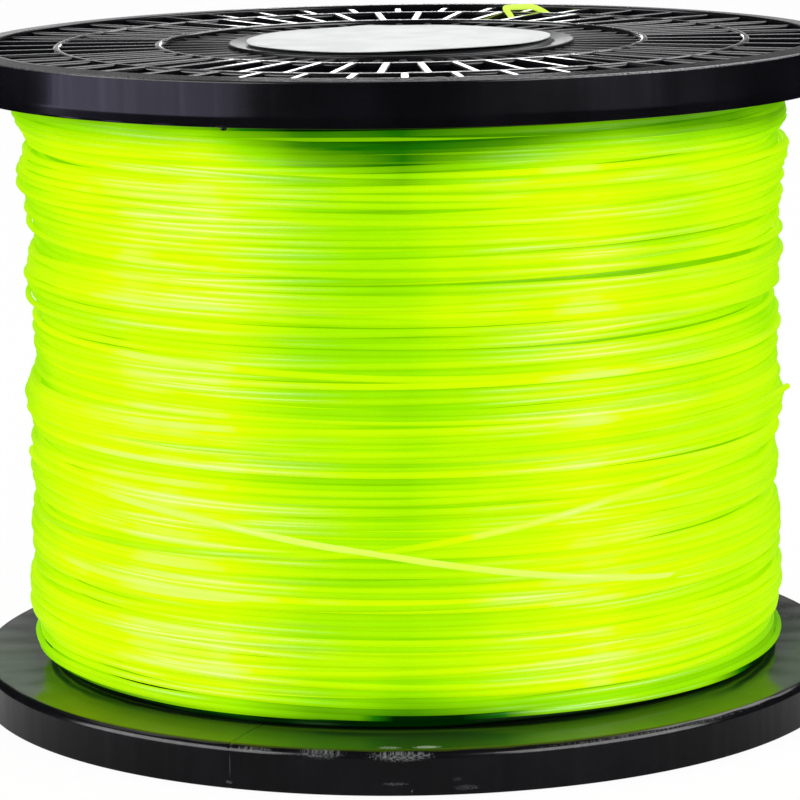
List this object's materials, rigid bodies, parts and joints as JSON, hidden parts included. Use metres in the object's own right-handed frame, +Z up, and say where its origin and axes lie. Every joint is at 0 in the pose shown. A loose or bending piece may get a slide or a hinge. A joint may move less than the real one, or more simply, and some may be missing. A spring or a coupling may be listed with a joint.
{
  "type": "fishing line spool",
  "caption": "Bulk spool of fishing line: ribbed flanges on a hollow barrel, a sleeve through the hubs, a paper label and cross-wound monofilament with a loose last turn.",
  "frame": {"origin": "centre of the lower rim's standing face, on the arbor's axis", "axes": "+Z up along the arbor; -Y towards the front, where the last turn crosses downwards to the right; +X to the right of someone facing the front"},
  "size_m": [0.127, 0.127, 0.0964],
  "materials": {
    "black_plastic": "semi-gloss moulded black styrene, faint violet tint, scuffed at the lower rim",
    "sleeve_plastic": "smooth black moulded plastic",
    "label_paper": "bare white paper, faintly mottled",
    "line_nylon": "fluorescent yellow-green translucent nylon monofilament, glossy"
  },
  "bodies": {
    "root": {"upper_flange": "black_plastic", "lower_flange": "black_plastic", "barrel": "black_plastic", "arbor_sleeve": "sleeve_plastic", "upper_label": "label_paper", "line_core": "line_nylon", "line_outer_turns": "line_nylon", "line_last_turn": "line_nylon", "line_start_tail": "line_nylon"}
  },
  "joints": []
}
